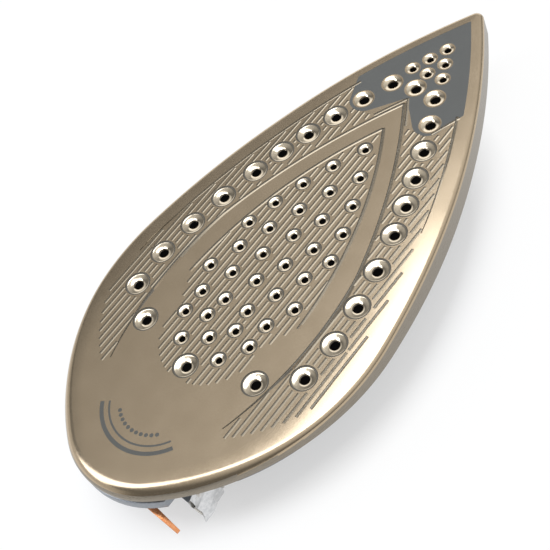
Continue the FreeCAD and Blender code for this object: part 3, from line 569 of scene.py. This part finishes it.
# the straight lines carry the painted highlight on their flatter side over their whole length
unitLine = grooveCutter("line_cutter", lineEnds, lines["highlightFromX"])  # bright over its whole length
matrices = []
for row in range(-lines["rows"], lines["rows"] + 1):
    y = row * lines["pitch"]
    for run in lineRuns(abs(y)):
        for start, end in clearRuns(y, run):
            stretched = Matrix.Diagonal((end - start, 1, 1, 1))
            matrices.append(Matrix.Translation((start * mm, y * mm, 0)) @ stretched)
print("grooves:", len(matrices))
lineCutter = repeatPiece(unitLine, matrices)


def arcCutter(name, points, widths, depth):
    # a groove that follows these points, with its own width at each
    rings = []
    for i, (x, y) in enumerate(points):
        before, after = points[max(i - 1, 0)], points[min(i + 1, len(points) - 1)]
        length = math.dist(before, after)
        along = ((after[0] - before[0]) / length, (after[1] - before[1]) / length)
        turn = 1 if along[0] > 0 else -1  # the steep side stays on +Y
        rings.append(trough(x, y, -along[1] * turn, along[0] * turn, widths[i], depth))
    return grooveCutter(name, rings, arch["highlightFromX"])


def arcPoints(circle, fromX, toX, count):
    x, y, radius = circle
    xs = [fromX + (toX - fromX) * i / count for i in range(count + 1)]
    return [(px, y + math.sqrt(radius ** 2 - (px - x) ** 2)) for px in xs]


tipX = arch["outerTip"][0]
innerHalf = arcPoints(arch["inner"], arch["innerTail"], arch["innerTip"], arch["innerSteps"])
outerHalf = arcPoints(outerHeel, arch["outerTail"], joinX, arch["heelSteps"])
outerHalf += arcPoints(outerToe, joinX, tipX, arch["toeSteps"])[1:]
shift = arch["secondApex"] - tipX  # the second arch repeats the point of the outer one nearer the toe
secondStart = arch["secondStart"] - shift
secondHalf = [(x + shift, y) for x, y in arcPoints(outerToe, secondStart, tipX, arch["secondSteps"])]
outerWidths = []
for x, y in outerHalf:
    swell = math.exp(-((x - arch["swellX"]) / arch["swellReach"]) ** 2)
    thin = arch["outerThin"] if x > arch["swellX"] else arch["outerThinTail"]
    outerWidths.append(thin + (arch["outerWide"] - thin) * swell)
archCutters = []
for side in (1, -1):
    # each line has two legs that meet at the axis with pointed ends
    tail, lineWidth = arch["edgeTail"][side], arch["lineWidth"]
    edgeHalf = [point for point in halfEdge(arch["edgeInset"])[outlineSteps[0]:]
                if tail < point[0] < arch["edgeToe"]]
    edgeShares = [min((x - tail) / arch["edgeTaper"], 1) for x, y in edgeHalf]
    edgeWidths = [lineWidth * (arch["edgeThin"] + (1 - arch["edgeThin"]) * share) for share in edgeShares]
    legs = [("inner_arch", innerHalf, [arch["innerWidth"]] * len(innerHalf)),
            ("outer_arch", outerHalf, outerWidths),
            ("second_arch", secondHalf, [lineWidth] * len(secondHalf)),
            ("edge_line", edgeHalf, edgeWidths)]
    if side == -1:  # only this side closes its lines with a slanted one
        legs.append(("end_line", [arch["endFrom"], arch["endTo"]], [lineWidth] * 2))
    for name, points, widths in legs:
        archCutters.append((name, [(x, side * y) for x, y in points], widths))

# grey toe panel, sunk by the thickness of its enamel
panel = {"inset": 4.6, "above": 0.4, "sink": 0.03, "rearX": 66.5, "apexX": 66.0,
         "dishX": 60.0, "dishY": 14.9, "round": 6.6, "roundAngles": range(128, 236, 9)}
panelHalf = [point for point in halfEdge(panel["inset"])[outlineSteps[0]:] if point[0] > panel["rearX"]]
for angle in panel["roundAngles"]:
    panelHalf.append((panel["dishX"] + panel["round"] * math.cos(math.radians(angle)),
                      panel["dishY"] + panel["round"] * math.sin(math.radians(angle))))
panelOutline = panelHalf + [(panel["apexX"], 0.0)] + [(x, -y) for x, y in reversed(panelHalf[1:])]


def printCutter(name, shape, finish):
    levels = [sole["faceZ"] + lift for lift in (panel["above"], -panel["sink"])]
    return stackRings(name, [[(x, y, z) for x, y in shape] for z in levels], finish)


cutWith(soleFace, printCutter("panel_cutter", panelOutline, printEnamel))

# plain print at the heel: two even arcs along the edge and a row of dots
heelPrint = {"arcs": ((14.0, 1.5), (17.2, 0.7)), "from": 124.0, "to": 236.0, "steps": 48,
             "dots": 11, "dotInset": 21.5, "dotRadius": 0.75, "dotFrom": 140.0, "dotTo": 220.0,
             "dotTurn": 20}
heelX, heelRadius = outlineArcs[3][0], outlineArcs[3][2]


def heelPoint(inset, angle):
    return (heelX + (heelRadius - inset) * math.cos(math.radians(angle)),
            (heelRadius - inset) * math.sin(math.radians(angle)))


printShapes = []
for inset, width in heelPrint["arcs"]:
    sweep, steps = heelPrint["to"] - heelPrint["from"], heelPrint["steps"]
    angles = [heelPrint["from"] + sweep * i / steps for i in range(steps + 1)]
    inner = [heelPoint(inset + width, angle) for angle in reversed(angles)]
    printShapes.append([heelPoint(inset, angle) for angle in angles] + inner)
for i in range(heelPrint["dots"]):
    share = i / (heelPrint["dots"] - 1)
    angle = heelPrint["dotFrom"] + (heelPrint["dotTo"] - heelPrint["dotFrom"]) * share
    x, y = heelPoint(heelPrint["dotInset"], angle)
    turns = [math.radians(turn) for turn in range(0, 360, heelPrint["dotTurn"])]
    printShapes.append([(x + heelPrint["dotRadius"] * math.cos(turn),
                         y + heelPrint["dotRadius"] * math.sin(turn)) for turn in turns])
cutWith(soleFace, joinPieces([printCutter("print_cutter", shape, printInk) for shape in printShapes]))

for size, places in (("big", bigPlaces), ("small", smallPlaces)):
    inPanel = [place for place in places if place[0] > dish["panelFromX"]]
    groups = [[place for place in places if place not in inPanel]] + [[place] for place in inPanel]
    for group in groups:  # the margins in the panel overlap, so those dishes are cut one by one
        cutter = dishCutter(size + "_dish", dish[size], group[0] in inPanel)
        cutWith(soleFace, repeatPiece(cutter, [Matrix.Translation((x * mm, y * mm, 0)) for x, y in group]))
cutWith(soleFace, lineCutter)
for name, points, widths in archCutters:
    # two legs that meet have floors on two levels, because level floors would not cut cleanly
    depth = arch["depth"] + (0.0 if points[0][1] > 0 else arch["legStep"])
    cutWith(soleFace, arcCutter(name, points, widths, depth))
crownFace(soleFace)
selectOnly(soleFace)
bpy.ops.object.shade_smooth_by_angle(angle=math.radians(sole["smooth"]))
borders = {}
for face in soleFace.data.polygons:
    if face.normal.z > sole["level"]:
        face.use_smooth = False  # the level middle stays flat to the eye
    for key in face.edge_keys:
        borders.setdefault(key, set()).add(face.material_index)
for edge in soleFace.data.edges:
    if len(borders[edge.key]) > 1:
        edge.use_edge_sharp = True  # grooves and rings keep a crisp border
settle(soleFace, "sole_steel", "sole_face")
print("sole face cut:", len(soleFace.data.polygons), "faces")

# the other pieces keep the solid's form, with the small edge rounds that it leaves out
dressing = {
    "heater_block": ("cast_aluminium", castAluminium, 0.35),
    "element_end_left": ("element_steel", elementSteel, 0.15),
    "element_end_right": ("element_steel", elementSteel, 0.15),
    "element_pin_left": ("element_steel", elementSteel, 0.1),
    "element_pin_right": ("element_steel", elementSteel, 0.1),
    "element_seal_left": ("ceramic", steatite, 0.2),
    "element_seal_right": ("ceramic", steatite, 0.2),
    "element_tab_left": ("tinned_steel", tinnedSteel, 0.1),
    "element_tab_right": ("tinned_steel", tinnedSteel, 0.1),
    "chamber_gasket": ("silicone", siliconeRubber, 0.1),
    "inlet_seal": ("silicone", siliconeRubber, 0.15),
    "chamber_cover": ("cover_steel", coverSteel, 0.2),
    "cover_screws": ("screw_steel", screwSteel, 0.15),
    "limiter_screws": ("screw_steel", screwSteel, 0.12),
    "clip_screw": ("screw_steel", screwSteel, 0.12),
    "steam_inlet": ("inlet_brass", turnedBrass, 0.2),
    "limiter_cap": ("limiter_metal", capAluminium, 0.25),
    "limiter_body": ("ceramic", steatite, 0.25),
    "limiter_bracket": ("tinned_steel", tinnedSteel, 0.12),
    "limiter_tab_left": ("tinned_steel", tinnedSteel, 0.1),
    "limiter_tab_right": ("tinned_steel", tinnedSteel, 0.1),
    "earth_blade": ("copper", copperStrip, 0.12),
    "earth_rivet": ("dark_steel", darkSteel, 0.15),
    "fuse_clip": ("tinned_steel", tinnedSteel, 0.12),
    "fuse_body": ("fuse_case", fuseCase, 0.2),
    "fuse_lead": ("copper", copperStrip, 0.1),
    "lead_rivet": ("dark_steel", darkSteel, 0.12),
}
edges = {"flat": 0.6, "bevelFrom": 40.0, "smooth": 38.0, "facets": 12.0, "segments": 2}  # angles in degrees


def editMerged(piece):
    # the solid's triangles become whole flat faces, and the piece stays in edit mode
    selectOnly(piece)
    bpy.ops.object.mode_set(mode="EDIT")
    bpy.ops.mesh.select_all(action="SELECT")
    bpy.ops.mesh.remove_doubles(threshold=weldGap)
    bpy.ops.mesh.dissolve_limited(angle_limit=math.radians(edges["flat"]))


# hand-bent sheet at the heel
blade = {"rootY": -11.5, "rootReach": 3.5, "freeY": -14.0, "tipY": -25.0,
         "out": -2.0, "tip": (-0.6, -1.4, -0.6), "midX": -105.1, "taper": 0.4}
clip = {"foldY": -25.6, "foldReach": 1.5, "farX": -98.6, "nearX": -87.2, "pull": (-1.6, 0.8), "cuts": 2,
        "wave": 3.4, "lift": 1.5, "seed": 4}


def bendBlade(piece):
    # the free end leans outward and narrows
    for vertex in piece.data.vertices:
        x, y, z = vertex.co / mm
        root = ease(y, blade["rootY"], blade["rootY"] - blade["rootReach"])
        free = min(max((blade["freeY"] - y) / (blade["freeY"] - blade["tipY"]), 0.0), 1.0)
        narrow = (blade["midX"] - x) * blade["taper"] * free
        vertex.co += (Vector(blade["tip"]) * free + Vector((blade["out"] * root + narrow, 0, 0))) * mm


def crumpleClip(piece):
    # the folded part is dented in flat facets
    editMerged(piece)
    bpy.ops.mesh.quads_convert_to_tris()
    bpy.ops.mesh.subdivide(number_cuts=clip["cuts"])
    bpy.ops.object.mode_set(mode="OBJECT")
    noise.seed_set(clip["seed"])  # the same dents on each run
    for vertex in piece.data.vertices:
        x, y, z = vertex.co / mm
        share = ease(y, clip["foldY"] + clip["foldReach"], clip["foldY"] - clip["foldReach"])
        side = min(max((x - clip["farX"]) / (clip["nearX"] - clip["farX"]), 0.0), 1.0) * share
        dent = noise.noise_vector(Vector((x, y, z)) / clip["wave"]) * clip["lift"] * share
        vertex.co += (dent + Vector((*clip["pull"], 0)) * side) * mm


bends = {"earth_blade": bendBlade, "fuse_clip": crumpleClip}
for nodeName, (slotName, finish, width) in dressing.items():
    piece = bpy.data.objects.new(nodeName + "_dressed", nodes[nodeName].data.copy())
    bpy.context.scene.collection.objects.link(piece)
    piece.data.materials.clear()
    piece.data.materials.append(finish)
    if nodeName in bends:
        bends[nodeName](piece)
    editMerged(piece)
    bpy.ops.object.mode_set(mode="OBJECT")
    applyModifier(piece, "BEVEL", width=width * mm, segments=edges["segments"], limit_method="ANGLE",
                  angle_limit=math.radians(edges["bevelFrom"]))
    softTo = edges["facets"] if nodeName == "fuse_clip" else edges["smooth"]
    bpy.ops.object.shade_smooth_by_angle(angle=math.radians(softTo))
    settle(piece, slotName, nodeName)
print("pieces dressed:", len(dressing))

# camera
lens = {"focal": 82.43, "sensor": 36.0, "place": (-0.14434, -0.25716, 0.36134),
        "right": (0.60966187, -0.72500984, -0.32042648), "up": (0.73927516, 0.3742279, 0.55984437),
        "back": (-0.28598015, -0.5781991, 0.76413425)}
camera = bpy.data.objects.new("camera", bpy.data.cameras.new("camera"))
bpy.context.scene.collection.objects.link(camera)
camera.data.lens = lens["focal"]
camera.data.sensor_width = lens["sensor"]
pose = Matrix((lens["right"], lens["up"], lens["back"])).transposed().to_4x4()
pose.translation = lens["place"]
camera.matrix_world = pose
bpy.context.scene.camera = camera

# white paper floor: the camera and the metal see it glowing nearly white; close to the part the glow is
# weaker, so the cast shadow shows there, and farther out the glow paints over it
paperLook = {"colour": "#f4f4f4", "rough": 0.9, "size": 60.0, "height": -0.0002,
             "glow": (0.5, 0.93), "reach": (0.054, 0.068), "middle": 0.02, "squeeze": 0.62}
bpy.ops.object.select_all(action="DESELECT")
bpy.ops.mesh.primitive_plane_add(size=paperLook["size"], location=(0, 0, paperLook["height"]))
floor = bpy.context.object
floor.name = "floor"
paper = bpy.data.materials.new("white_paper")
paper.use_nodes = True
tree = paper.node_tree
sheet = tree.nodes["Principled BSDF"]
sheet.inputs["Base Color"].default_value = toLinear(paperLook["colour"])
sheet.inputs["Roughness"].default_value = paperLook["rough"]
path = addNode(tree, "ShaderNodeLightPath").outputs
direct = addNode(tree, "ShaderNodeMath", {"operation": "MAXIMUM"},
                 {0: path["Is Camera Ray"], 1: path["Is Glossy Ray"]})
seen = addNode(tree, "ShaderNodeMath", {"operation": "MAXIMUM"},
               {0: direct.outputs[0], 1: path["Is Transmission Ray"]})
coords = addNode(tree, "ShaderNodeTexCoord").outputs["Object"]
squeeze = paperLook["squeeze"]
spot = addNode(tree, "ShaderNodeMapping",
               {"Location": (paperLook["middle"] * squeeze, 0, 0), "Scale": (squeeze, 1, 0)},
               {"Vector": coords})
away = addNode(tree, "ShaderNodeVectorMath", {"operation": "LENGTH"}, {0: spot.outputs[0]})
(near, far), (dim, full) = paperLook["reach"], paperLook["glow"]
glow = addNode(tree, "ShaderNodeMapRange", {1: near, 2: far, 3: dim, 4: full}, {0: away.outputs["Value"]})
share = addNode(tree, "ShaderNodeMath", {"operation": "MULTIPLY"}, {0: seen.outputs[0], 1: glow.outputs[0]})
white = addNode(tree, "ShaderNodeEmission", {"Strength": 1.0})
mixed = addNode(tree, "ShaderNodeMixShader", None,
                {0: share.outputs[0], 1: sheet.outputs[0], 2: white.outputs[0]})
tree.links.new(mixed.outputs[0], tree.nodes["Material Output"].inputs["Surface"])
floor.data.materials.append(paper)

# soft boxes: azimuth, elevation and roll in degrees, distance, width and height in metres, power in watts
boxes = {"top_box": (54.5, 80.1, -46, 1.0, 0.40, 0.81, 4.1), "left_box": (138, 45, 0, 1.0, 0.42, 0.85, 4.2)}
lampColour = (0.94, 0.98, 1.05)  # daylight tubes, slightly cool
for name, (azimuth, elevation, roll, distance, width, height, power) in boxes.items():
    lamp = bpy.data.lights.new(name, "AREA")
    lamp.shape = "RECTANGLE"
    lamp.size, lamp.size_y = width, height
    lamp.energy = power
    lamp.color = lampColour
    box = bpy.data.objects.new(name, lamp)
    bpy.context.scene.collection.objects.link(box)
    a, e = math.radians(azimuth), math.radians(elevation)
    toward = Vector((math.cos(a) * math.cos(e), math.sin(a) * math.cos(e), math.sin(e)))
    box.location = toward * distance
    rolled = toward.to_track_quat("Z", "Y") @ Quaternion((0, 0, 1), math.radians(roll))
    box.rotation_euler = rolled.to_euler()

# the room is brighter overhead and on the toe side, with a pale wall low down behind the part
room = {"slope": (0.42, -0.35, 1.31), "start": -0.325, "lowest": 0.2, "highest": 1.6,
        "wallSlope": (2.0, 0.0, 0.0), "wallStart": 0.6, "wallLowest": 0.7,
        "wallTop": (0.50, 0.36), "wallSide": (0.0, 0.4)}
world = bpy.data.worlds.new("studio")
bpy.context.scene.world = world
world.use_nodes = True
tree = world.node_tree
direction = addNode(tree, "ShaderNodeTexCoord").outputs["Generated"]
levels = []
for slope, start, lowest in ((room["slope"], room["start"], room["lowest"]),
                             (room["wallSlope"], room["wallStart"], room["wallLowest"])):
    along = addNode(tree, "ShaderNodeVectorMath", {"operation": "DOT_PRODUCT", 1: slope}, {0: direction})
    lifted = addNode(tree, "ShaderNodeMath", {"operation": "ADD", 1: start}, {0: along.outputs["Value"]})
    held = addNode(tree, "ShaderNodeClamp", {1: lowest, 2: room["highest"]}, {0: lifted.outputs[0]})
    levels.append(held.outputs[0])
axes = addNode(tree, "ShaderNodeSeparateXYZ", None, {0: direction}).outputs
shares = []
for (outside, inside), axis in ((room["wallTop"], axes[2]), (room["wallSide"], axes[1])):
    eased = addNode(tree, "ShaderNodeMapRange",
                    {"interpolation_type": "SMOOTHSTEP", 1: outside, 2: inside}, {0: axis})
    shares.append(eased.outputs[0])
wall = addNode(tree, "ShaderNodeMath", {"operation": "MULTIPLY"}, {0: shares[0], 1: shares[1]})
strength = addNode(tree, "ShaderNodeMix", {"data_type": "FLOAT"},
                   {0: wall.outputs[0], 2: levels[0], 3: levels[1]})
tree.nodes["Background"].inputs["Color"].default_value = (1, 1, 1, 1)
tree.links.new(strength.outputs[0], tree.nodes["Background"].inputs["Strength"])
print("studio set")
